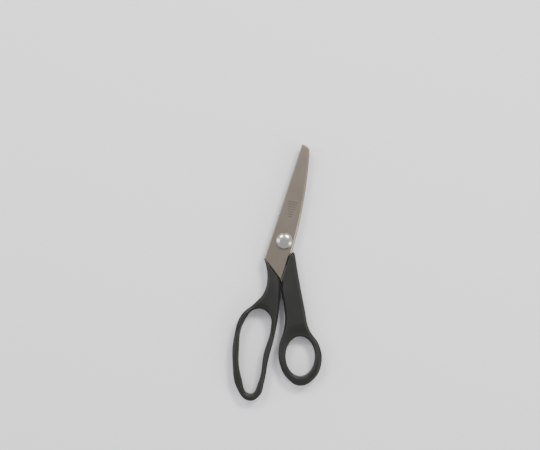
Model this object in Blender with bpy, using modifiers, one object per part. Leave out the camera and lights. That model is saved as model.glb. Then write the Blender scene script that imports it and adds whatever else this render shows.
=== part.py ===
"""Pinking shears, closed and lying on their back.

Metres, +Z up. The pivot axis is the Z axis, the blades point along +Y, and the
handles rest on Z = 0. The thumb side turns about the pivot; the finger side is fixed.
"""
from math import copysign, cos, pi, radians, sin, tan

import bmesh
import bpy
from mathutils import Vector

# Heights
SHEAR_Z = 0.0070           # plane in which the two blades meet
BLADE_THICK = 0.0040       # outer face of a blade to the shear plane
HANDLE_DEPTH = 0.0140
HANDLE_CHAMFER = 0.0019    # sloped edge of the moulded handles
BLADE_CHAMFER = 0.0008     # width of the sloped edge around a blade's outer face
BLADE_CHAMFER_DROP = 0.0004
STOCK_EXTRA = 0.0016       # blade stock past the shear plane, before the teeth are cut
FIT = 0.0003               # gap around a tang in its handle
FACE_GAP = 0.0003          # gap between steel and the end of a handle

# Modelling
CURVE_STEPS = 7            # straight pieces between two smooth points
SHARP_ANGLE = radians(35)
SAME_SPOT = 1e-6
REACH = 0.12               # cutters reach this far sideways
PAST = 0.001               # and this far past a face

# Blade plan: a straight spine, and a long arc on the cutting side
SPINE_OFFSET = 0.01125     # spine to pivot, at the pivot
SPINE_TILT = radians(6.6)
BELLY_X = 0.0094           # widest point of the long arc
BELLY_Y = 0.0235
BELLY_RADIUS = 0.375
BELLY_START = -0.0077
EDGE_STEP = 0.0006         # front blade's edge inside the rear blade's spine
TIP_CENTRE = (-0.0002, 0.0744)
TIP_RADIUS = 0.0065
FRONT_TIP = (15, 104)      # degrees covered by each blade's tip arc
REAR_TIP = (12, 80)
TIP_BLEND = 0.0015         # the long arc stops this far short of the tip arc
HEEL_Y = -0.0174
HEEL_TILT = radians(41.4)
HEEL_LENGTH = 0.0222
THROAT = [(0.0062, -0.0120), (0.0083, -0.0079)]
FRONT_APEX_SIDE = (0.0042, -0.0316)
REAR_APEX_SIDE = (0.0040, -0.0314)
REAR_HEEL_INSET = 0.0008   # the rear blade's heel hides behind the front one

# Rear blade's hidden cutting side
REAR_EDGE = [(-0.0005, 0.0775), (-0.0075, 0.0140), (-0.0098, 0.0050), (-0.0110, -0.0050)]

# Teeth: ridges concentric with the pivot, so they mesh at every angle
TOOTH_PITCH = 0.0030
TOOTH_DEPTH = 0.0015
TOOTH_START = 0.0180
TOOTH_COUNT = 22
TOOTH_GAP = 0.00006        # each blade's teeth to the middle of the mesh
TOOTH_BAND = 0.0050        # width of the toothed strip
RIDGE_STEPS = 120
RIDGE_FOOT = 0.0080        # ridges are kept above this height along the blade
BAND_START = 0.0120        # the hollow beside the teeth runs between these
BAND_END = 0.0900
CUT_DEPTH = 0.0040         # inner cutters reach this far past the shear plane
RELIEF = 0.0011            # hollow of each inner face beside the teeth
HEEL_RELIEF = 0.0005
HEEL_RELIEF_TOP = -0.0082
BOSS_RADIUS = 0.0090
BOSS_GAP = 0.0003
BOSS_CUT_MARGIN = 0.0002   # between the boss cut and the first ridge

# Pivot hardware
ROUND_STEPS = 48
HEAD_RADIUS = 0.00665
HEAD_RIM = 0.0007
HEAD_RISE = 0.0024
STEM_RADIUS = 0.00195
STEM_END = 0.0016
THREAD_HOLE = 0.0021
THREAD_END = 0.0012
BARREL_RADIUS = 0.0035
BARREL_HOLE = 0.0036
BARREL_SHORT = 0.0001      # barrel's top below the front blade's face
FLANGE_RADIUS = 0.0063
FLANGE_THICK = 0.0024
WASHER_THICK = 0.0005
THRUST_RADIUS = 0.0065
WASHER_RADIUS = 0.0060
AXIAL_GAP = 0.00005
BUSHING_INNER = 0.00362
BUSHING_OUTER = 0.0046
BUSHING_HOLE = 0.00465

# Thumb hole, an ellipse, and finger hole, broad above and narrow below
THUMB_HOLE_CENTRE = (0.0320, -0.0905)
THUMB_HOLE_HALF = (0.0121, 0.0166)
THUMB_HOLE_TILT = radians(11.6)
THUMB_HOLE_POINTS = 48
FINGER_HOLE = [(-0.0105, -0.0590), (0.0008, -0.0625), (0.0036, -0.0710), (0.0022, -0.0950),
               (0.0026, -0.1180), (-0.0022, -0.1294), (-0.0120, -0.1175),
               (-0.0186, -0.0950), (-0.0190, -0.0720)]

# Handle outlines: smooth points of a closed curve, and the corners it starts with, some
# of which lie past the steel so that the shut-off cut leaves a sharp edge there
FINGER_CORNERS = [(0.0036, -0.0330), (0.0012, -0.0262), (-0.0168, -0.0115)]
FINGER_CURVE = [(-0.0080, -0.0300), (-0.0078, -0.0450), (-0.0138, -0.0555),
                (-0.0222, -0.0665), (-0.0246, -0.0850), (-0.0214, -0.1070),
                (-0.0130, -0.1275), (-0.0020, -0.1345), (0.0058, -0.1285),
                (0.0072, -0.1180), (0.0068, -0.0990), (0.0080, -0.0760), (0.0060, -0.0470)]
THUMB_CORNERS = [(0.0107, -0.0090), (0.0094, -0.0076), (0.0040, -0.0095),
                 (0.0016, -0.0300), (0.0049, -0.0345)]
THUMB_CURVE = [(0.0062, -0.0410), (0.0104, -0.0520), (0.0140, -0.0640), (0.0144, -0.0740),
               (0.0134, -0.0870), (0.0168, -0.1000), (0.0255, -0.1105), (0.0365, -0.1140),
               (0.0465, -0.1065), (0.0502, -0.0930), (0.0455, -0.0785), (0.0345, -0.0670),
               (0.0275, -0.0510), (0.0190, -0.0305)]
THUMB_SHUTOFF = [(0.0046, -0.0330), (0.0065, -0.0120), (0.0087, -0.0081), (0.0115, -0.0030)]

# Tangs, from inside the blade to a rounded end in the handle
TANG_THICK = 0.0028
TANG_SET = 0.0008          # tang's near face to the shear plane
TANG_HOLE = 0.0020
TANG_END_STEPS = 8
FRONT_TANG = {"root": (0.0010, -0.0180), "end": (0.0165, -0.0500), "half": 0.0036}
REAR_TANG = {"root": (-0.0050, -0.0150), "end": (-0.0016, -0.0480), "half": 0.0034}


def clear_scene():
    for item in list(bpy.data.objects):
        bpy.data.objects.remove(item, do_unlink=True)


def collection(name):
    made = bpy.data.collections.new(name)
    bpy.context.scene.collection.children.link(made)
    return made


def material(name, colour, roughness, metallic):
    made = bpy.data.materials.new(name)
    made.use_nodes = True
    shader = made.node_tree.nodes["Principled BSDF"]
    shader.inputs["Base Color"].default_value = (*colour, 1.0)
    shader.inputs["Roughness"].default_value = roughness
    shader.inputs["Metallic"].default_value = metallic
    return made


def weld(mesh):
    work = bmesh.new()
    work.from_mesh(mesh)
    bmesh.ops.remove_doubles(work, verts=work.verts, dist=SAME_SPOT)
    bmesh.ops.recalc_face_normals(work, faces=work.faces)
    work.to_mesh(mesh)
    work.free()


def fill_spline(curve, points, smooth):
    """One closed spline. In a smooth one, points marked as corners stay sharp."""
    spline = curve.splines.new("BEZIER" if smooth else "POLY")
    spline.use_cyclic_u = True
    if not smooth:
        spline.points.add(len(points) - 1)
        for target, (x, y) in zip(spline.points, points):
            target.co = (x, y, 0, 1)
        return
    spline.bezier_points.add(len(points) - 1)
    for target, (x, y, corner) in zip(spline.bezier_points, points):
        target.co = (x, y, 0)
        kind = "VECTOR" if corner else "AUTO"
        target.handle_left_type = kind
        target.handle_right_type = kind


def plate(name, splines, low, high, edge=0.0, drop=0.0):
    """A flat outline, with any holes, given thickness and sloped edges, as a mesh.

    The slope is edge wide and drop deep.
    """
    half = (high - low) / 2
    curve = bpy.data.curves.new(name, "CURVE")
    curve.dimensions = "2D"
    curve.fill_mode = "BOTH"
    curve.resolution_u = CURVE_STEPS
    curve.extrude = half - edge
    curve.bevel_depth = edge
    curve.bevel_resolution = 0
    curve.offset = -edge
    for points, smooth in splines:
        fill_spline(curve, points, smooth)
    source = bpy.data.objects.new(name + "_curve", curve)
    bpy.context.scene.collection.objects.link(source)
    source.location.z = (low + high) / 2
    graph = bpy.context.evaluated_depsgraph_get()
    mesh = bpy.data.meshes.new_from_object(source.evaluated_get(graph))
    weld(mesh)
    for vert in mesh.vertices:
        if abs(vert.co.z) < half - SAME_SPOT:
            vert.co.z = copysign(half - drop, vert.co.z)
    made = bpy.data.objects.new(name, mesh)
    made.matrix_world = source.matrix_world.copy()
    made.location.z = (low + high) / 2
    bpy.data.objects.remove(source, do_unlink=True)
    return made


def turned(name, profile, closed=False, steps=ROUND_STEPS):
    """A solid of revolution about Z. The profile runs down its outer side."""
    mesh = bpy.data.meshes.new(name)
    edges = [(i, i + 1) for i in range(len(profile) - 1)]
    if closed:
        edges.append((len(profile) - 1, 0))
    mesh.from_pydata([(r, 0, z) for r, z in profile], edges, [])
    made = bpy.data.objects.new(name, mesh)
    screw = made.modifiers.new("Turn", "SCREW")
    screw.steps = steps
    screw.render_steps = steps
    screw.use_merge_vertices = True
    screw.merge_threshold = SAME_SPOT
    return made


def ring(name, inner, outer, low, high):
    return turned(name, [(inner, high), (outer, high), (outer, low), (inner, low)], closed=True)


def rod(name, radius, low, high):
    return turned(name, [(0, high), (radius, high), (radius, low), (0, low)])


def as_cutter(item):
    CUTTERS.objects.link(item)
    item.hide_render = True
    item.display_type = "WIRE"
    return item


def boolean(target, other, operation):
    step = target.modifiers.new(other.name, "BOOLEAN")
    step.operation = operation
    step.solver = "EXACT"
    step.object = as_cutter(other)


def rectangle(left, low, right, high):
    return [(left, low), (right, low), (right, high), (left, high)]


def arc(centre, radius, start, end, steps=8):
    angles = [radians(start + (end - start) * i / steps) for i in range(steps + 1)]
    return [(centre[0] + radius * cos(a), centre[1] + radius * sin(a)) for a in angles]


def ellipse(centre, half, tilt, count):
    points = []
    for i in range(count):
        turn = 2 * pi * i / count
        x, y = half[0] * cos(turn), half[1] * sin(turn)
        points.append((centre[0] + x * cos(tilt) - y * sin(tilt),
                       centre[1] + x * sin(tilt) + y * cos(tilt)))
    return points


def spine_x(y):
    return -SPINE_OFFSET + y * tan(SPINE_TILT)


def belly(inset, start, end, steps=24):
    points = []
    for i in range(steps + 1):
        y = start + (end - start) * i / steps
        points.append((BELLY_X - inset - (y - BELLY_Y) ** 2 / (2 * BELLY_RADIUS), y))
    return points


def heel_points(gap=0.0):
    """The heel's two corners, moved away from the pivot by gap."""
    out = (-sin(HEEL_TILT) * gap, -cos(HEEL_TILT) * gap)
    corner = (spine_x(HEEL_Y) + out[0], HEEL_Y + out[1])
    apex = (corner[0] + HEEL_LENGTH * cos(HEEL_TILT), corner[1] - HEEL_LENGTH * sin(HEEL_TILT))
    return corner, apex


def tip(radius, angles):
    return arc(TIP_CENTRE, radius, *angles)


def front_outline():
    corner, apex = heel_points()
    end = tip(TIP_RADIUS - EDGE_STEP / 2, FRONT_TIP)
    return (belly(EDGE_STEP, BELLY_START, end[0][1] - TIP_BLEND) + end +
            [corner, apex, FRONT_APEX_SIDE] + THROAT)


def rear_outline():
    corner, apex = heel_points()
    end = tip(TIP_RADIUS - EDGE_STEP, REAR_TIP)
    return (belly(0.0, BELLY_START, end[0][1] - TIP_BLEND) + end + REAR_EDGE +
            [(corner[0] + REAR_HEEL_INSET, corner[1]), (apex[0], apex[1] + FIT),
             REAR_APEX_SIDE] + THROAT)


def tang_outline(root, end, half, grow=0.0):
    """A tongue of constant width with a round end."""
    length = ((end[0] - root[0]) ** 2 + (end[1] - root[1]) ** 2) ** 0.5
    along = ((end[0] - root[0]) / length, (end[1] - root[1]) / length)
    side = (-along[1], along[0])
    wide = half + grow
    points = [(root[0] - side[0] * wide, root[1] - side[1] * wide)]
    for i in range(TANG_END_STEPS + 1):
        turn = radians(-90 + 180 * i / TANG_END_STEPS)
        ahead, across = wide * cos(turn), wide * sin(turn)
        points.append((end[0] + along[0] * ahead + side[0] * across,
                       end[1] + along[1] * ahead + side[1] * across))
    points.append((root[0] + side[0] * wide, root[1] + side[1] * wide))
    return points


def ridges(name, offset, far_z):
    """Corrugated ring between the tooth surface and far_z, kept to the blades' side."""
    middle = SHEAR_Z + offset
    profile = [(TOOTH_START - TOOTH_PITCH / 2, middle)]
    for i in range(TOOTH_COUNT):
        radius = TOOTH_START + i * TOOTH_PITCH
        profile.append((radius, middle - TOOTH_DEPTH / 2))
        profile.append((radius + TOOTH_PITCH / 2, middle + TOOTH_DEPTH / 2))
    last = profile[-1][0] + TOOTH_PITCH / 4
    profile += [(last, middle), (last, far_z), (profile[0][0], far_z)]
    if far_z > middle:
        profile.reverse()
    made = turned(name, profile, closed=True, steps=RIDGE_STEPS)
    sector = plate(name + "_sector", [(rectangle(-REACH, RIDGE_FOOT, REACH, REACH), False)],
                   -PAST, HANDLE_DEPTH + PAST)
    boolean(made, sector, "INTERSECT")
    return made


def cut_inner_face(blade, direction, beside_teeth):
    """Teeth, hollow grind, pivot boss and heel relief. direction is +1 on the front blade."""
    far_z = SHEAR_Z - direction * CUT_DEPTH
    boss_z, heel_z, hollow_z = (SHEAR_Z + direction * gap
                                for gap in (BOSS_GAP, HEEL_RELIEF, RELIEF))
    boolean(blade, ridges(blade.name + "_ridges", direction * TOOTH_GAP, far_z), "DIFFERENCE")

    for name, points, level in (
            ("_hollow", beside_teeth, hollow_z),
            ("_heel_cut", rectangle(-REACH, -REACH, REACH, HEEL_RELIEF_TOP), heel_z)):
        low, high = sorted((far_z, level))
        boolean(blade, plate(blade.name + name, [(points, False)], low, high), "DIFFERENCE")

    limit = TOOTH_START - BOSS_CUT_MARGIN
    steps = [(0, boss_z), (BOSS_RADIUS, boss_z), (BOSS_RADIUS, heel_z), (limit, heel_z),
             (limit, far_z), (0, far_z)]
    if direction < 0:
        steps.reverse()
    boolean(blade, turned(blade.name + "_boss_cut", steps), "DIFFERENCE")


def add_tang(blade, tang, direction):
    near = SHEAR_Z + direction * TANG_SET
    low, high = sorted((near, near + direction * TANG_THICK))
    boolean(blade, plate(blade.name + "_tang", [(tang_outline(**tang), False)], low, high), "UNION")
    boolean(blade, anchor(blade.name + "_anchor_hole", tang, TANG_HOLE + FIT), "DIFFERENCE")
    return low, high


def anchor(name, tang, radius):
    """A peg through the far end of the tang, where the plastic holds it."""
    made = rod(name, radius, -PAST, HANDLE_DEPTH + PAST)
    made.location.xy = tang["end"]
    return made


def pocket(handle, tang, low, high):
    """Room for the tang, less the peg that passes through it."""
    outline = tang_outline(**tang, grow=FIT)
    space = plate(handle.name + "_pocket", [(outline, False)], low - FIT, high + FIT)
    boolean(space, anchor(handle.name + "_peg", tang, TANG_HOLE), "DIFFERENCE")
    boolean(handle, space, "DIFFERENCE")


def front_blade():
    made = plate("front_blade", [(front_outline(), False)], SHEAR_Z - STOCK_EXTRA,
                 SHEAR_Z + BLADE_THICK, BLADE_CHAMFER, BLADE_CHAMFER_DROP)
    inside = belly(EDGE_STEP + TOOTH_BAND, BAND_START, BAND_END, 8)
    cut_inner_face(made, 1, inside + [(-REACH, BAND_END), (-REACH, BAND_START)])
    levels = add_tang(made, FRONT_TANG, 1)
    boolean(made, rod("front_pivot_hole", BUSHING_HOLE, 0, HANDLE_DEPTH), "DIFFERENCE")
    return made, levels


def rear_blade():
    made = plate("rear_blade", [(rear_outline(), False)], SHEAR_Z - BLADE_THICK,
                 SHEAR_Z + STOCK_EXTRA, BLADE_CHAMFER, BLADE_CHAMFER_DROP)
    (top_x, top_y), (low_x, low_y) = REAR_EDGE[:2]
    lean = (top_x - low_x) / (top_y - low_y)
    foot = low_x + (BAND_START - low_y) * lean + TOOTH_BAND
    head = low_x + (BAND_END - low_y) * lean + TOOTH_BAND
    cut_inner_face(made, -1, [(foot, BAND_START), (REACH, BAND_START), (REACH, BAND_END),
                              (head, BAND_END)])
    levels = add_tang(made, REAR_TANG, -1)
    boolean(made, rod("rear_pivot_hole", BARREL_HOLE, 0, HANDLE_DEPTH), "DIFFERENCE")
    return made, levels


def shut_off(handle, points):
    """Ends the plastic with a sharp edge along the steel."""
    room = plate(handle.name + "_shut_off", [(points, False)], -PAST, HANDLE_DEPTH + PAST)
    boolean(handle, room, "DIFFERENCE")


def moulded(name, corners, curve, hole, smooth_hole):
    outline = [(*spot, True) for spot in corners] + [(*spot, False) for spot in curve]
    if smooth_hole:
        hole = [(*spot, False) for spot in hole]
    return plate(name, [(outline, True), (hole, smooth_hole)], 0, HANDLE_DEPTH,
                 HANDLE_CHAMFER, HANDLE_CHAMFER)


def finger_handle(levels):
    made = moulded("finger_handle", FINGER_CORNERS, FINGER_CURVE, FINGER_HOLE, True)
    corner, apex = (Vector(spot) for spot in heel_points(FACE_GAP))
    beyond = (apex - corner) / 2
    inward = Vector((sin(HEEL_TILT), cos(HEEL_TILT))) * HEEL_LENGTH
    low, high = corner - beyond, apex + beyond
    shut_off(made, [low, high, high + inward, low + inward])
    pocket(made, REAR_TANG, *levels)
    return made


def thumb_handle(levels):
    hole = ellipse(THUMB_HOLE_CENTRE, THUMB_HOLE_HALF, THUMB_HOLE_TILT, THUMB_HOLE_POINTS)
    made = moulded("thumb_handle", THUMB_CORNERS, THUMB_CURVE, hole, False)
    left = spine_x(HEEL_Y)
    shut_off(made, THUMB_SHUTOFF + [(left, THUMB_SHUTOFF[-1][1]), (left, THUMB_SHUTOFF[0][1])])
    pocket(made, FRONT_TANG, *levels)
    return made


def pivot_pieces():
    front_face = SHEAR_Z + BLADE_THICK
    rear_face = SHEAR_Z - BLADE_THICK
    seat = front_face + WASHER_THICK + 2 * AXIAL_GAP
    rim = seat + HEAD_RIM
    dome = [(HEAD_RADIUS * sin(radians(a)), rim + HEAD_RISE * cos(radians(a)))
            for a in range(0, 91, 10)]
    bolt = turned("pivot_bolt", dome + [(HEAD_RADIUS, seat), (STEM_RADIUS, seat),
                                        (STEM_RADIUS, STEM_END), (0, STEM_END)])
    top = front_face - BARREL_SHORT
    nut = turned("pivot_nut", [(0, THREAD_END), (THREAD_HOLE, THREAD_END), (THREAD_HOLE, top),
                               (BARREL_RADIUS, top), (BARREL_RADIUS, FLANGE_THICK),
                               (FLANGE_RADIUS, FLANGE_THICK), (FLANGE_RADIUS, 0), (0, 0)])
    half = WASHER_THICK / 2
    thrust = ring("blade_washer", BARREL_HOLE, THRUST_RADIUS, SHEAR_Z - half, SHEAR_Z + half)
    head = ring("head_washer", BARREL_HOLE, WASHER_RADIUS, front_face + AXIAL_GAP,
                seat - AXIAL_GAP)
    rear = ring("nut_washer", BARREL_HOLE, WASHER_RADIUS, FLANGE_THICK + AXIAL_GAP,
                rear_face - AXIAL_GAP)
    bushing = ring("pivot_bushing", BUSHING_INNER, BUSHING_OUTER,
                   SHEAR_Z + BOSS_GAP + AXIAL_GAP, front_face - AXIAL_GAP)
    return bolt, nut, thrust, head, rear, bushing


def side(name, members):
    """An empty on the pivot axis that carries the pieces which move together."""
    carrier = bpy.data.objects.new(name, None)
    PARTS.objects.link(carrier)
    for item, finish in members:
        PARTS.objects.link(item)
        item.parent = carrier
        item.data.materials.clear()
        item.data.materials.append(finish)
        item.data.shade_smooth()
        item.data.set_sharp_from_angle(angle=SHARP_ANGLE)


clear_scene()
PARTS = collection("pinking_shears")
CUTTERS = collection("cutters")

steel = material("blade_steel", (0.29, 0.26, 0.21), 0.34, 1.0)
plastic = material("handle_plastic", (0.045, 0.045, 0.041), 0.45, 0.0)
chrome = material("pivot_chrome", (0.80, 0.80, 0.78), 0.08, 1.0)
washer = material("pivot_washer", (0.62, 0.60, 0.54), 0.40, 0.0)

upper, upper_levels = front_blade()
lower, lower_levels = rear_blade()
bolt, nut, thrust, head_ring, nut_ring, bushing = pivot_pieces()

side("finger_side", [(lower, steel), (finger_handle(lower_levels), plastic), (bolt, chrome),
                     (nut, chrome), (thrust, washer), (head_ring, washer), (nut_ring, washer)])
side("thumb_side", [(upper, steel), (thumb_handle(upper_levels), plastic), (bushing, washer)])
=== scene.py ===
"""Looks of the pinking shears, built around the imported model. Metres, +Z up."""
from math import cos, radians, sin

import bmesh
import bpy
import numpy as np
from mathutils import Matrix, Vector
from mathutils.bvhtree import BVHTree
from mathutils.kdtree import KDTree


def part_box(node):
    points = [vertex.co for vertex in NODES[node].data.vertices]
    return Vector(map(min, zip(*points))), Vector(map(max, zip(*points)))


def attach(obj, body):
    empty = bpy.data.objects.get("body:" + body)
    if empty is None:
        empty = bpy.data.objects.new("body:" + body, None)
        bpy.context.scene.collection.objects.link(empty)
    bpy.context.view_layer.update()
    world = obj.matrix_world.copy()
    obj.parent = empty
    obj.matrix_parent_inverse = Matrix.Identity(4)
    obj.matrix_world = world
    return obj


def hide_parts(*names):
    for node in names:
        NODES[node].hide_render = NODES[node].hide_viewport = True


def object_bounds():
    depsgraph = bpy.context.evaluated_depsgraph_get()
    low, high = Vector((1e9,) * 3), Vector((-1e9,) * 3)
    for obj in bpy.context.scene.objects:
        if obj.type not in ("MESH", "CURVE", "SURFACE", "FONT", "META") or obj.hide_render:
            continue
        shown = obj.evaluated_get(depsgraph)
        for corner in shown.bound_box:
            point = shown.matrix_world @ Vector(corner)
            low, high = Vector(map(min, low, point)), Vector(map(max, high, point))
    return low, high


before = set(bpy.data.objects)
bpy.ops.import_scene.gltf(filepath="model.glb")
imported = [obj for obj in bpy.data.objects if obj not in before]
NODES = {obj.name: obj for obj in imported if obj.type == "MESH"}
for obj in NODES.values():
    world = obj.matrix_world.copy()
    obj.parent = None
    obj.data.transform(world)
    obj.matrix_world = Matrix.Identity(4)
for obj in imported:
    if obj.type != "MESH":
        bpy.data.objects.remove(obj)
CAD_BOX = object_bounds()

# Camera: straight above, rolled so that the blades lean right
VIEW_ROLL = radians(11.6)
VIEW_CENTRE = (-0.0141, 0.0104)
VIEW_WIDTH = 0.443           # width of the picture at the blades' height
LENS = 85.0
SENSOR = 36.0
CLIP_START = 0.01

# Studio
FLOOR_HALF = 6.0             # from the floor's middle to its edge
FLOOR_GAP = 0.0001           # keeps the floor off the faces that lie on it
SKY = (0.86, 0.88, 0.92)
SKY_STRENGTH = 0.68

# Handle shaping
VOXEL = 0.00035
SMOOTH_TURNS = 7
SOFTEN_TURNS = 2             # after the surface is pulled back onto the model's
WALL_TURNS = 24              # on the loops' upright walls only
CROWN_WIDTH = 0.0065         # from the silhouette to full thickness
CROWN_EDGE = 0.96            # share of the thickness left at the silhouette
LOOP_EDGE = 0.87             # the same on the rounder loops
LOOP_START = 0.35            # part of a loop's length over which it gets rounder
MODEL_CHAMFER = 0.0019       # the model's sloped edge, also around the holes
HOLE_SLOPE = {"width": 0.0016, "drop": 0.0009}   # the shallower one shown instead
CREST_WIDTH = 0.0006         # raised line along the top of that slope
CREST_RISE = 0.00025
CREST_START = 0.3            # chamfer widths from the silhouette where the crest begins
THROAT_DROP = 0.0007         # how far the front sinks towards the steel
THROAT_LENGTH = 0.0120
BACK_DROP = 0.0012           # the same on the back, over a shorter stretch
BACK_LENGTH = 0.0070
TAIL_DROP = 0.0022           # how far the front sinks from a hole's top to the far end
THUMB_DISH = {"depth": 0.0034, "width": 0.0120}
FINGER_DISH = {"depth": 0.0017, "width": 0.0060}
DISH_SIDES = (-0.7, 0.8)     # facing away from the pivot: no dish, facing it: full depth
SEAM_RADIUS = 0.00013
SLICE_INSET = 0.0003         # slices through the steel lie this far inside its faces
SLICE_SPACING = 0.00025
SPECK_POINTS = 20            # a slice's loop with no more points than this is a speck

# Lighter creases on the plastic: a painted highlight along them, partly edge wear
WEAR_AND_HIGHLIGHT = "edge_wear_and_highlight"           # name of the value that says how much painted highlight and edge wear a crease gets
WEAR_AND_HIGHLIGHT_START = 0.000006        # how far a point stands out from its neighbours
WEAR_AND_HIGHLIGHT_FULL = 0.000024
WEAR_AND_HIGHLIGHT_TURNS = 2               # turns of averaging that spread the value

# Steel
SAME_SPOT = 0.000002         # points closer than this are one point
SHORT_EDGE = 0.00008         # shorter ones on the outer side would limit the bevel
FLAT_ANGLE = radians(0.5)    # faces that meet flatter than this become one
SHARP_STEEL = radians(18)    # edges sharper than this are bevelled or shaded as sharp
FINE_BEVEL = 0.00008
CHAMFER_BAND = 0.0030        # chamfers lie further than this from the shear plane
CHAMFER_TILT = (0.6, 0.97)   # how much of a chamfer's normal points up or down

# Etched mark on the front blade: a tapering stack of plain zigzags
MARK_FOOT = (0.0004, 0.0200)
MARK_TEETH = (2, 3, 3, 4, 4, 5, 5)     # in each row of zigzags, from the foot up
MARK_ROW_GAP = 0.0020
MARK_PITCH = 0.0015
MARK_RISE = 0.0010
MARK_LINE = 0.0005
MARK_LIFT = 0.000015
MARK_DEPTH = 0.00010

# Pivot
LATHE_STEPS = 128
DRILL_STEPS = 48
SHARP_TURNED = radians(40)
BOLT_HEAD = 0.0031           # height of the domed head
BOLT_RIM = 0.0007            # height of the upright rim below the dome
BOLT_CORNER = 0.0002
BOLT_STEM_RADIUS = 0.00195
DOME_SHARE = 0.985           # the dome's radius as a share of the rim's
DOME_STEP = 3                # degrees
NUT_FLANGE = 0.0024          # height of the flange
NUT_CORNER = 0.0003
NUT_BORE_FLOOR = 0.0012
NUT_BORE_RADIUS = 0.0021
NUT_BARREL_RADIUS = 0.0035
SPANNER_HOLE = 0.0009
SPANNER_SPREAD = 0.0042
SPANNER_DEPTH = 0.0012


# ----------------------------------------------------------------- materials

class Shader:
    """A Principled material with short calls for the nodes used here."""

    def __init__(self, name, colour, roughness, metallic, **extra):
        self.material = bpy.data.materials.new(name)
        self.material.use_nodes = True
        self.tree = self.material.node_tree
        self.surface = self.tree.nodes["Principled BSDF"]
        self.surface.inputs["Base Color"].default_value = (*colour, 1)
        self.surface.inputs["Roughness"].default_value = roughness
        self.surface.inputs["Metallic"].default_value = metallic
        for socket, value in extra.items():
            self.surface.inputs[socket.replace("_", " ")].default_value = value
        self.place = self.tree.nodes.new("ShaderNodeTexCoord").outputs["Object"]
        self.bump_chain = None

    def link(self, source, target):
        self.tree.links.new(source, target)

    def noise(self, scale, stretch=(1, 1, 1), detail=3.0, turn=0.0):
        """A noise over the piece's own coordinates."""
        mapping = self.tree.nodes.new("ShaderNodeMapping")
        mapping.inputs["Scale"].default_value = stretch
        mapping.inputs["Rotation"].default_value = (0, 0, turn)
        self.link(self.place, mapping.inputs["Vector"])
        texture = self.tree.nodes.new("ShaderNodeTexNoise")
        texture.inputs["Scale"].default_value = scale
        texture.inputs["Detail"].default_value = detail
        self.link(mapping.outputs["Vector"], texture.inputs["Vector"])
        return texture.outputs["Fac"]

    def spread(self, value, low, high):
        """Maps the part of a noise that is mostly used, 0.3 to 0.7, to low..high."""
        node = self.tree.nodes.new("ShaderNodeMapRange")
        limits = {"From Min": 0.3, "From Max": 0.7, "To Min": low, "To Max": high}
        for socket, limit in limits.items():
            node.inputs[socket].default_value = limit
        self.link(value, node.inputs["Value"])
        return node.outputs["Result"]

    def roughness(self, value, low, high):
        """Roughness from low to high over a noise."""
        self.link(self.spread(value, low, high), self.surface.inputs["Roughness"])

    def blend(self, factor, light):
        """Base colour that goes to light with the factor; returns where it starts."""
        mix = self.tree.nodes.new("ShaderNodeMix")
        mix.data_type = "RGBA"
        mix.inputs["B"].default_value = (*light, 1)
        self.link(factor, mix.inputs["Factor"])
        self.link(mix.outputs["Result"], self.surface.inputs["Base Color"])
        return mix.inputs["A"]

    def colour(self, value, dark, light):
        """Base colour from dark to light over a noise."""
        self.blend(self.spread(value, 0, 1), light).default_value = (*dark, 1)

    def worn_and_highlit_creases(self, colour):
        """Blends the base colour to another where the mesh's crease value says so: used for a
        painted highlight along the creases, partly edge wear.
        """
        before = self.surface.inputs["Base Color"].links[0].from_socket
        wear_and_highlight = self.tree.nodes.new("ShaderNodeAttribute")
        wear_and_highlight.attribute_name = WEAR_AND_HIGHLIGHT
        self.link(before, self.blend(wear_and_highlight.outputs["Fac"], colour))

    def bump(self, value, depth, strength=1.0):
        """Fine relief, added to any bump made before."""
        node = self.tree.nodes.new("ShaderNodeBump")
        node.inputs["Distance"].default_value = depth
        node.inputs["Strength"].default_value = strength
        self.link(value, node.inputs["Height"])
        if self.bump_chain:
            self.link(self.bump_chain, node.inputs["Normal"])
        self.bump_chain = node.outputs["Normal"]
        self.link(self.bump_chain, self.surface.inputs["Normal"])


def blade_steel():
    """Satin ground steel with fine lines along the blade and faint cloudiness."""
    made = Shader("ground_steel", (0.282, 0.241, 0.192), 0.34, 1.0)
    lines = made.noise(900, (6.0, 0.10, 1.0), 4, radians(-6))
    clouds = made.noise(60, detail=4)
    made.colour(clouds, (0.268, 0.229, 0.183), (0.296, 0.254, 0.202))
    made.roughness(lines, 0.30, 0.40)
    made.bump(lines, 0.000004, 0.6)
    return made.material


def bright_steel():
    """Freshly ground chamfers, brighter than the satin faces."""
    made = Shader("chamfer_steel", (0.32, 0.292, 0.244), 0.34, 1.0)
    lines = made.noise(2600, (1.0, 0.15, 1.0), 3)
    made.colour(lines, (0.300, 0.274, 0.230), (0.340, 0.310, 0.259))
    made.roughness(lines, 0.30, 0.38)
    return made.material


def mark_steel():
    """Etched steel: duller and darker than the ground face around it."""
    made = Shader("etched_steel", (0.105, 0.094, 0.078), 0.6, 1.0)
    grain = made.noise(9000)
    made.roughness(grain, 0.52, 0.68)
    made.bump(grain, 0.000004)
    return made.material


def black_plastic():
    """Moulded black plastic with a fine spark-eroded grain, a slight handling sheen from uneven
    roughness, and a painted highlight along the creases, partly edge wear.
    """
    made = Shader("moulded_plastic", (0.0145, 0.0145, 0.0125), 0.42, 0.0,
                  Specular_IOR_Level=0.32)
    clouds = made.noise(35, detail=3)
    grain = made.noise(5200, detail=2)
    made.colour(clouds, (0.013, 0.013, 0.0112), (0.016, 0.016, 0.0138))
    # painted highlight along the creases, partly edge wear: a lighter base colour where the
    # mesh's crease value is high
    made.worn_and_highlit_creases((0.022, 0.022, 0.020))
    made.roughness(clouds, 0.38, 0.47)
    made.bump(grain, 0.000012, 0.45)
    return made.material


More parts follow.
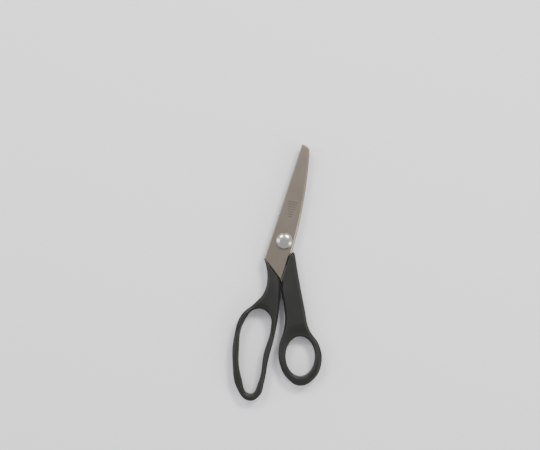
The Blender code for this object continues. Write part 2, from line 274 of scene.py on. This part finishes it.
def polished_chrome():
    """Bright plated steel with faint scuffs."""
    made = Shader("polished_chrome", (0.59, 0.57, 0.515), 0.19, 1.0)
    scuffs = made.noise(700, detail=6)
    made.roughness(scuffs, 0.16, 0.24)
    return made.material


def washer_plastic():
    """Pale, slightly uneven bearing plastic, on the bushing too."""
    made = Shader("washer_plastic", (0.60, 0.58, 0.52), 0.45, 0.0)
    haze = made.noise(1500)
    made.colour(haze, (0.57, 0.55, 0.49), (0.64, 0.62, 0.56))
    made.bump(haze, 0.000006)
    return made.material


def floor_paint():
    """Plain pale studio floor."""
    made = Shader("studio_floor", (0.95, 0.95, 0.955), 0.7, 0.0)
    made.bump(made.noise(900), 0.00001)
    return made.material


# ------------------------------------------------------------------- helpers

def linked(name, data):
    """A new object in the scene."""
    item = bpy.data.objects.new(name, data)
    bpy.context.scene.collection.objects.link(item)
    return item


def add(name, mesh, finish):
    """A new object all in one material."""
    mesh.materials.clear()
    mesh.materials.append(finish)
    return linked(name, mesh)


def evaluated_mesh(item):
    """A new mesh of the item as its modifiers or its curve's settings show it."""
    bpy.context.view_layer.update()
    graph = bpy.context.evaluated_depsgraph_get()
    return bpy.data.meshes.new_from_object(item.evaluated_get(graph))


def baked(item):
    """The item with its modifiers applied."""
    mesh = evaluated_mesh(item)
    item.modifiers.clear()
    item.data = mesh
    return item


def opened(mesh):
    """The mesh as a bmesh to work on."""
    work = bmesh.new()
    work.from_mesh(mesh)
    return work


def written(work, mesh):
    """The mesh with the finished work in it."""
    work.to_mesh(mesh)
    work.free()
    return mesh


def cleaned(item):
    """Joins the specks that a cut or a bevel can leave."""
    work = opened(item.data)
    bmesh.ops.remove_doubles(work, verts=work.verts, dist=SAME_SPOT)
    bmesh.ops.dissolve_degenerate(work, edges=work.edges, dist=SAME_SPOT)
    written(work, item.data)
    return item


def crisp(item, angle):
    """Smooth shading that keeps flat faces flat, and edges over the angle sharp."""
    work = opened(item.data)
    work.normal_update()
    for face in work.faces:
        face.smooth = True
    for edge in work.edges:
        edge.smooth = edge.calc_face_angle(0) < angle
    written(work, item.data)
    weigh = item.modifiers.new("Weigh", "WEIGHTED_NORMAL")
    weigh.keep_sharp = True
    return baked(item)


def points_of(mesh):
    """The mesh's points as rows of x, y, z."""
    flat = np.zeros(len(mesh.vertices) * 3, np.float32)
    mesh.vertices.foreach_get("co", flat)
    return flat.reshape(-1, 3).astype(float)


def put_points(mesh, points):
    """Moves the mesh's points to the rows given."""
    mesh.vertices.foreach_set("co", points.astype(np.float32).ravel())
    mesh.update()


def smoothstep(value):
    """0 up to 0, 1 from 1 on, and an S curve between."""
    share = np.clip(value, 0, 1)
    return share * share * (3 - 2 * share)


def lathe(name, profile, finish, steps=LATHE_STEPS):
    """A turned piece. The profile runs from the axis at the top down its outside."""
    mesh = bpy.data.meshes.new(name)
    spots = [(r, 0, z) for r, z in profile]
    mesh.from_pydata(spots, [(i, i + 1) for i in range(len(spots) - 1)], [])
    item = add(name, mesh, finish)
    screw = item.modifiers.new("Turn", "SCREW")
    screw.steps = steps
    screw.render_steps = steps
    screw.use_merge_vertices = True
    screw.merge_threshold = 1e-6
    baked(item)
    item.data.shade_smooth()
    item.data.set_sharp_from_angle(angle=SHARP_TURNED)
    return item


def rounded(corner, radius, start, steps=5):
    """A quarter circle inside a profile's corner, turning from start degrees downwards."""
    centre = (corner[0] - radius, corner[1] + (radius if start == 0 else -radius))
    turns = [radians(start - 90 * i / steps) for i in range(steps + 1)]
    return [(centre[0] + radius * cos(t), centre[1] + radius * sin(t)) for t in turns]


# ------------------------------------------------------------------- handles

def slice_points(mesh, height):
    """Close points along the outline of a mesh at one height."""
    work = opened(mesh)
    cut = bmesh.ops.bisect_plane(work, geom=work.verts[:] + work.edges[:] + work.faces[:],
                                 plane_co=(0, 0, height), plane_no=(0, 0, 1))
    found = []
    for edge in (e for e in cut["geom_cut"] if isinstance(e, bmesh.types.BMEdge)):
        start, end = (v.co.copy() for v in edge.verts)
        count = max(1, int((end - start).length / SLICE_SPACING))
        found += [start.lerp(end, i / count) for i in range(count)]
    work.free()
    return found


def slice_loops(mesh, height):
    """The closed outlines of a mesh at one height, each as points in order."""
    work = opened(mesh)
    bmesh.ops.remove_doubles(work, verts=work.verts, dist=SAME_SPOT)
    bmesh.ops.bisect_plane(work, geom=work.verts[:] + work.edges[:] + work.faces[:],
                           plane_co=(0, 0, height), plane_no=(0, 0, 1),
                           clear_inner=True, clear_outer=True)
    loops = []
    seen = set()
    for start in work.verts:
        if start in seen or len(start.link_edges) != 2:
            continue
        loop = []
        vert = start
        while vert is not None and vert not in seen:
            seen.add(vert)
            loop.append(vert.co.copy())
            vert = next((e.other_vert(vert) for e in vert.link_edges
                         if e.other_vert(vert) not in seen), None)
        if len(loop) > SPECK_POINTS:
            loops.append(loop)
    work.free()
    return loops


def filled_loop(loop):
    """Close points along a closed outline."""
    found = []
    for start, end in zip(loop, np.roll(loop, -1, axis=0)):
        count = max(1, int(np.linalg.norm(end - start) / SLICE_SPACING))
        found += [Vector(start + (end - start) * i / count) for i in range(count)]
    return found


def distances(points, outline):
    """How far each point is from an outline, seen from above."""
    tree = KDTree(len(outline))
    for i, spot in enumerate(outline):
        tree.insert((spot.x, spot.y, 0), i)
    tree.balance()
    return np.array([tree.find((x, y, 0))[2] for x, y, _ in points])


def pulled_onto(points, mesh):
    """The nearest places on the mesh's surface."""
    mesh.calc_loop_triangles()
    tree = BVHTree.FromPolygons([v.co.copy() for v in mesh.vertices],
                                [t.vertices[:] for t in mesh.loop_triangles])
    return np.array([tree.find_nearest(spot)[0] for spot in points])


def softened(item, turns, chosen=None):
    """Evens out the whole surface, or only the chosen points (True for each one)."""
    ease = item.modifiers.new("Ease", "SMOOTH")
    ease.factor = 0.5
    ease.iterations = turns
    if chosen is not None:
        group = item.vertex_groups.new(name="Chosen")
        group.add(np.flatnonzero(chosen).tolist(), 1.0, "REPLACE")
        ease.vertex_group = group.name
    baked(item)
    item.vertex_groups.clear()


def neighbour_mean(values, edges):
    """For each point, the mean of the values of the points that its edges reach."""
    total = np.zeros_like(values)
    count = np.zeros(len(values))
    for here, there in (edges, edges[::-1]):
        np.add.at(total, here, values[there])
        np.add.at(count, here, 1)
    return total / (count if values.ndim == 1 else count[:, None])


def record_wear_and_highlight(mesh):
    """Stores how far each point stands out from its neighbours, 1 on a sharp crease: where the
    plastic gets its painted highlight, partly edge wear.
    """
    edges = np.zeros(len(mesh.edges) * 2, np.int32)
    mesh.edges.foreach_get("vertices", edges)
    edges = edges.reshape(-1, 2).T
    normals = np.zeros(len(mesh.vertices) * 3, np.float32)
    mesh.vertices.foreach_get("normal", normals)
    points = points_of(mesh)
    stands_out = ((points - neighbour_mean(points, edges)) * normals.reshape(-1, 3)).sum(axis=1)
    for _ in range(WEAR_AND_HIGHLIGHT_TURNS):
        stands_out = neighbour_mean(stands_out, edges)
    wear_and_highlight = smoothstep((stands_out - WEAR_AND_HIGHLIGHT_START) / (WEAR_AND_HIGHLIGHT_FULL - WEAR_AND_HIGHLIGHT_START))
    stored = mesh.attributes.new(WEAR_AND_HIGHLIGHT, "FLOAT", "POINT")
    stored.data.foreach_set("value", wear_and_highlight.astype(np.float32))


def slope_into_hole(points, middle, half, hole, outer, width, drop):
    """Slopes both faces down to a hole, with a crest along the front face's slope."""
    inward = distances(points, hole)
    outward = distances(points, outer)
    height = np.abs(points[:, 2] - middle)
    lowered = np.maximum(drop * np.maximum(0, 1 - inward / width),
                         np.maximum(0, MODEL_CHAMFER - outward))
    raised = CREST_RISE * np.exp(-((inward - width) / CREST_WIDTH) ** 2)
    raised *= smoothstep(outward / MODEL_CHAMFER - CREST_START) * (points[:, 2] > middle)
    near = inward < width + 3 * CREST_WIDTH
    on_face = height > half - MODEL_CHAMFER - VOXEL / 4
    side = np.sign(points[:, 2] - middle)
    shaped = middle + side * (half - lowered + raised)
    points[:, 2] = np.where(near & on_face, shaped, points[:, 2])


def beside_steel(points, node, height, reach):
    """1 along a blade's outline, fading to 0 at reach."""
    return smoothstep(1 - distances(points, slice_points(NODES[node].data, height)) / reach)


def dish(points, middle, top, hole, depth, width):
    """Lowers the front around a hole, most on the side that faces the pivot."""
    corners = np.array([hole.min(axis=0), hole.max(axis=0)])[:, :2]
    centre = corners.mean(axis=0)
    half = (corners[1] - corners[0]) / 2
    across = points[:, :2] - centre
    reach = np.hypot(*(across / (half + width)).T)
    heading = across / np.maximum(np.linalg.norm(across, axis=1), 1e-6)[:, None]
    facing = heading @ (-centre / np.linalg.norm(centre))
    upper = np.clip((points[:, 2] - middle) / (top - middle), 0, 1)
    edge = (half / (half + width)).max()
    start, full = DISH_SIDES
    points[:, 2] -= (depth * upper * smoothstep((1 - reach) / (1 - edge)) *
                     smoothstep((facing - start) / (full - start)))


def shaped_handle(name, node, body, finish, hollow):
    """A moulded handle: the node's form, crowned, sloped at both ends and dished."""
    source = NODES[node]
    low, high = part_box(node)
    middle = (low.z + high.z) / 2
    half = high.z - middle
    loops = [np.array(loop) for loop in slice_loops(source.data, middle)]
    loops.sort(key=lambda loop: np.ptp(loop[:, 1]))
    hole, outer = loops[-2:]
    item = add(name, source.data.copy(), finish)
    remesh = item.modifiers.new("Even", "REMESH")
    remesh.mode = "VOXEL"
    remesh.voxel_size = VOXEL
    softened(item, SMOOTH_TURNS)
    put_points(item.data, pulled_onto(points_of(item.data), source.data))
    softened(item, SOFTEN_TURNS)
    points = points_of(item.data)
    wall = np.abs(points[:, 2] - middle) < half - MODEL_CHAMFER - VOXEL
    softened(item, WALL_TURNS, wall & (points[:, 1] < hole[:, 1].max()))

    points = points_of(item.data)
    slope_into_hole(points, middle, half, filled_loop(hole), filled_loop(outer), **HOLE_SLOPE)
    tail = (hole[:, 1].max() - points[:, 1]) / (hole[:, 1].max() - low.y)
    edge = CROWN_EDGE + (LOOP_EDGE - CROWN_EDGE) * smoothstep(tail / LOOP_START)
    share = np.clip(distances(points, slice_points(source.data, middle)) / CROWN_WIDTH, 0, 1)
    crown = edge + (1 - edge) * np.sqrt(1 - (1 - share) ** 2)
    points[:, 2] = middle + (points[:, 2] - middle) * crown
    upper = np.clip((points[:, 2] - middle) / half, 0, 1)
    under = np.clip((middle - points[:, 2]) / half, 0, 1)
    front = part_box("front_blade")[1].z - SLICE_INSET
    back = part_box("rear_blade")[0].z + SLICE_INSET
    points[:, 2] -= THROAT_DROP * upper * beside_steel(points, "front_blade", front,
                                                       THROAT_LENGTH)
    points[:, 2] += BACK_DROP * under * beside_steel(points, "rear_blade", back, BACK_LENGTH)
    points[:, 2] -= TAIL_DROP * upper * smoothstep(tail)
    dish(points, middle, high.z, hole, **hollow)
    put_points(item.data, points)
    # the value for the painted highlight along the creases, partly edge wear
    record_wear_and_highlight(item.data)
    item.data.shade_smooth()
    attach(item, body)
    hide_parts(node)
    mould_seam(name + "_seam", item.data, middle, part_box(node), body, finish)


def mould_seam(name, mesh, height, box, body, finish):
    """The faint raised line that a two-part mould leaves around a handle."""
    low, high = (np.array(corner[:2]) for corner in box)
    curve = bpy.data.curves.new(name, "CURVE")
    curve.dimensions = "3D"
    curve.bevel_depth = SEAM_RADIUS
    curve.bevel_resolution = 1
    for loop in slice_loops(mesh, height):
        spline = curve.splines.new("POLY")
        spline.use_cyclic_u = True
        spline.points.add(len(loop) - 1)
        for target, spot in zip(spline.points, loop):
            inside = np.clip(spot[:2], low + SEAM_RADIUS, high - SEAM_RADIUS)
            target.co = (*inside, height, 1)
    guide = linked(name + "_curve", curve)
    item = add(name, evaluated_mesh(guide), finish)
    bpy.data.objects.remove(guide)
    item.data.shade_smooth()
    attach(item, body)


# --------------------------------------------------------------------- steel

def ground_blade(name, node, body, *finishes):
    """A blade in two finishes: its faces, and the finely bevelled chamfers around them."""
    shear = sum(corner.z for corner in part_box("blade_washer")) / 2
    work = opened(NODES[node].data)
    bmesh.ops.remove_doubles(work, verts=work.verts, dist=SAME_SPOT)
    bmesh.ops.dissolve_limit(work, angle_limit=FLAT_ANGLE, verts=work.verts, edges=work.edges)
    outer = [v for v in work.verts if abs(v.co.z - shear) > CHAMFER_BAND]
    bmesh.ops.remove_doubles(work, verts=outer, dist=SHORT_EDGE)
    flattest, steepest = CHAMFER_TILT
    for face in work.faces:
        away = abs(face.calc_center_median().z - shear) > CHAMFER_BAND
        face.material_index = int(away and flattest < abs(face.normal.z) < steepest)
    edges = [e for e in work.edges if e.calc_face_angle(0) > SHARP_STEEL and
             all(abs(v.co.z - shear) > CHAMFER_BAND for v in e.verts)]
    bmesh.ops.bevel(work, geom=edges, offset=FINE_BEVEL, offset_type="OFFSET", segments=2,
                    profile=0.5, affect="EDGES", clamp_overlap=True)
    item = linked(name, written(work, bpy.data.meshes.new(name)))
    for finish in finishes:
        item.data.materials.append(finish)
    crisp(cleaned(item), SHARP_STEEL)
    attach(item, body)
    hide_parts(node)


def stroke(work, points, height):
    """A flat line of the mark's width through the points."""
    pairs = []
    for i, (x, y) in enumerate(points):
        before = points[max(i - 1, 0)]
        after = points[min(i + 1, len(points) - 1)]
        along = Vector((after[0] - before[0], after[1] - before[1])).normalized()
        side = Vector((-along.y, along.x, 0)) * MARK_LINE / 2
        spot = Vector((x, y, height))
        pairs.append((work.verts.new(spot - side), work.verts.new(spot + side)))
    for (a, b), (c, d) in zip(pairs, pairs[1:]):
        work.faces.new((a, c, d, b))


def etched_mark(finish):
    """A generic mark on the front blade's outer face: zigzags in a tapering stack."""
    work = bmesh.new()
    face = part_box("front_blade")[1].z + MARK_LIFT
    for row, teeth in enumerate(MARK_TEETH):
        left = MARK_FOOT[0] - teeth * MARK_PITCH / 2
        low = MARK_FOOT[1] + row * MARK_ROW_GAP
        stroke(work, [(left + i * MARK_PITCH / 2, low + i % 2 * MARK_RISE)
                      for i in range(2 * teeth + 1)], face)
    item = add("etched_mark", written(work, bpy.data.meshes.new("etched_mark")), finish)
    depth = item.modifiers.new("Depth", "SOLIDIFY")
    depth.thickness = MARK_DEPTH
    depth.offset = -1
    baked(item)
    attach(item, "thumb_side")


# --------------------------------------------------------------------- pivot

def pivot_bolt(finish):
    """The bolt: a low dome on an upright rim, with a plain stem down the pivot."""
    low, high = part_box("pivot_bolt")
    radius = high.x
    seat = high.z - BOLT_HEAD
    shoulder = seat + BOLT_RIM
    profile = [(radius * DOME_SHARE * sin(radians(a)),
                shoulder + (high.z - shoulder) * cos(radians(a)))
               for a in range(0, 91, DOME_STEP)]
    profile += rounded((radius, shoulder), BOLT_CORNER, 90)
    profile += rounded((radius, seat), BOLT_CORNER, 0)
    profile += [(BOLT_STEM_RADIUS, seat), (BOLT_STEM_RADIUS, low.z), (0, low.z)]
    item = lathe("domed_bolt", profile, finish)
    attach(item, "finger_side")
    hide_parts("pivot_bolt")


def pivot_nut(finish):
    """The barrel nut, with two blind holes in its flange for a pin spanner."""
    low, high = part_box("pivot_nut")
    profile = [(0, NUT_BORE_FLOOR), (NUT_BORE_RADIUS, NUT_BORE_FLOOR),
               (NUT_BORE_RADIUS, high.z), (NUT_BARREL_RADIUS, high.z),
               (NUT_BARREL_RADIUS, NUT_FLANGE)]
    profile += rounded((high.x, NUT_FLANGE), NUT_CORNER, 90)
    profile += rounded((high.x, low.z), NUT_CORNER, 0)
    profile += [(0, low.z)]
    item = lathe("barrel_nut", profile, finish)
    for side in (-1, 1):
        pin = [(0, SPANNER_DEPTH), (SPANNER_HOLE, SPANNER_DEPTH),
               (SPANNER_HOLE, -SPANNER_DEPTH), (0, -SPANNER_DEPTH)]
        drill = lathe(f"drill_{side}", pin, finish, DRILL_STEPS)
        drill.location = (side * SPANNER_SPREAD, 0, low.z)
        bpy.context.view_layer.update()
        cut = item.modifiers.new("Spanner_hole", "BOOLEAN")
        cut.object = drill
        cut.operation = "DIFFERENCE"
        cleaned(baked(item))
        bpy.data.objects.remove(drill)
    crisp(item, SHARP_TURNED)
    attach(item, "finger_side")
    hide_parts("pivot_nut")


# --------------------------------------------------------------------- stage

def floor(finish):
    """A plain floor just under the object."""
    work = bmesh.new()
    bmesh.ops.create_grid(work, x_segments=2, y_segments=2, size=FLOOR_HALF)
    item = add("studio_floor", written(work, bpy.data.meshes.new("studio_floor")), finish)
    item.location.z = CAD_BOX[0].z - FLOOR_GAP


def area_light(name, place, size, power, colour):
    """A soft light that looks at the pivot. Sizes in metres, power in watts."""
    data = bpy.data.lights.new(name, "AREA")
    data.shape = "RECTANGLE"
    data.size, data.size_y = size
    data.energy = power
    data.color = colour
    item = linked(name, data)
    item.location = place
    item.rotation_euler = (-Vector(place)).to_track_quat("-Z", "Y").to_euler()


def studio():
    """Four soft lights and a pale sky."""
    area_light("key", (0.35, 0.88, 1.17), (0.45, 0.35), 16, (1, 0.985, 0.96))
    area_light("fill", (-0.63, 0.71, 1.17), (0.45, 0.45), 8, (0.97, 0.98, 1))
    area_light("rim_right", (1.15, -0.25, 0.75), (0.4, 1.0), 6, (1, 0.99, 0.97))
    area_light("rim_left", (-1.10, -0.15, 0.75), (0.6, 1.4), 5.5, (0.97, 0.98, 1))
    world = bpy.data.worlds.new("studio")
    world.use_nodes = True
    sky = world.node_tree.nodes["Background"]
    sky.inputs["Color"].default_value = (*SKY, 1)
    sky.inputs["Strength"].default_value = SKY_STRENGTH
    bpy.context.scene.world = world


def camera():
    """The photograph's view, straight down on the object."""
    data = bpy.data.cameras.new("photo_view")
    data.lens = LENS
    data.sensor_width = SENSOR
    data.clip_start = CLIP_START
    item = linked("photo_view", data)
    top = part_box("front_blade")[1].z
    item.location = (*VIEW_CENTRE, top + VIEW_WIDTH / SENSOR * LENS)
    item.rotation_euler = (0, 0, VIEW_ROLL)
    bpy.context.scene.camera = item


# ---------------------------------------------------------------------- make

steel = blade_steel()
plastic = black_plastic()
chrome = polished_chrome()
pale = washer_plastic()

for node in ("pivot_bushing", "blade_washer", "head_washer", "nut_washer"):
    NODES[node].data.materials.clear()
    NODES[node].data.materials.append(pale)

ground_blade("front_blade_ground", "front_blade", "thumb_side", steel, bright_steel())
ground_blade("rear_blade_ground", "rear_blade", "finger_side", steel, bright_steel())
etched_mark(mark_steel())
shaped_handle("thumb_grip", "thumb_handle", "thumb_side", plastic, THUMB_DISH)
shaped_handle("finger_grip", "finger_handle", "finger_side", plastic, FINGER_DISH)
pivot_bolt(chrome)
pivot_nut(chrome)

floor(floor_paint())
studio()
camera()
